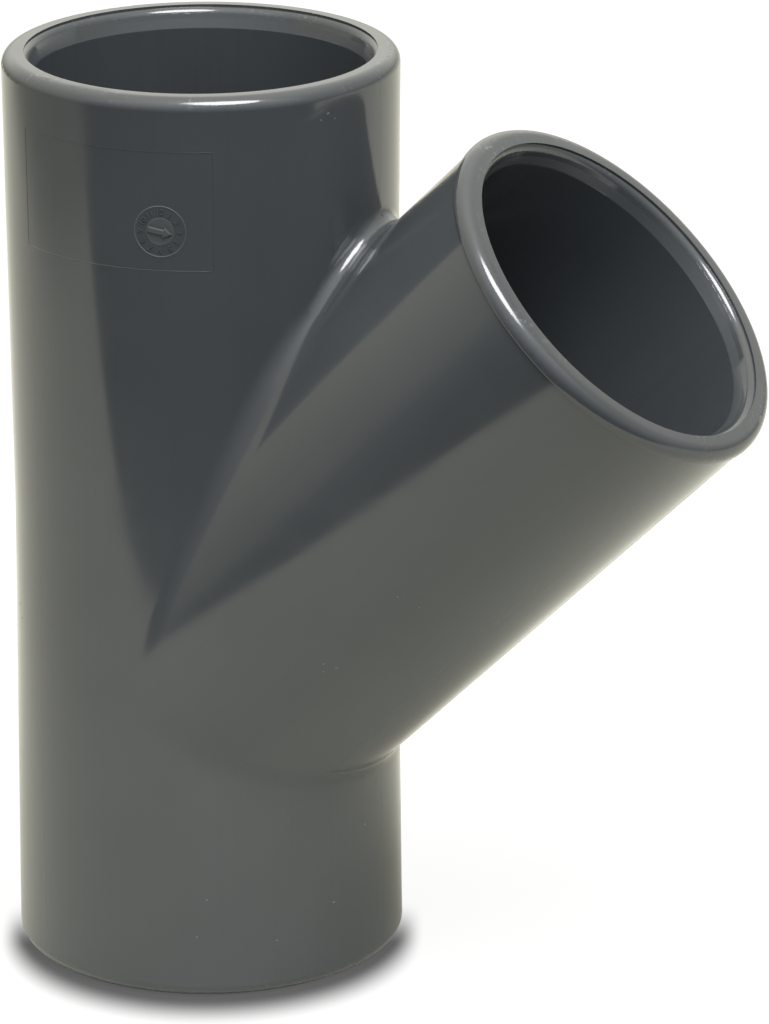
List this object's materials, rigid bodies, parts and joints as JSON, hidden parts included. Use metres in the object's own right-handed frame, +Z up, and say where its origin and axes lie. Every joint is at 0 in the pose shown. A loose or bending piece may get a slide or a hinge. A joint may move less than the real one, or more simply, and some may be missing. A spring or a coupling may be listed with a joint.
{
  "type": "lateral wye fitting",
  "caption": "Pressure pipe wye moulded in one piece: a straight run with a socket at each end, and a branch socket that leaves its side at 45 degrees.",
  "frame": {"origin": "centre of the lower mouth's face, on the run's axis", "axes": "+Z up along the run to its upper mouth, +X towards the side where the branch leaves, with both axes in the XZ plane"},
  "size_m": [0.1195, 0.06, 0.142],
  "materials": {
    "pvc_u_dark_grey": "smooth as moulded, semi-gloss"
  },
  "bodies": {
    "root": {"wye_body": "pvc_u_dark_grey"}
  },
  "joints": []
}
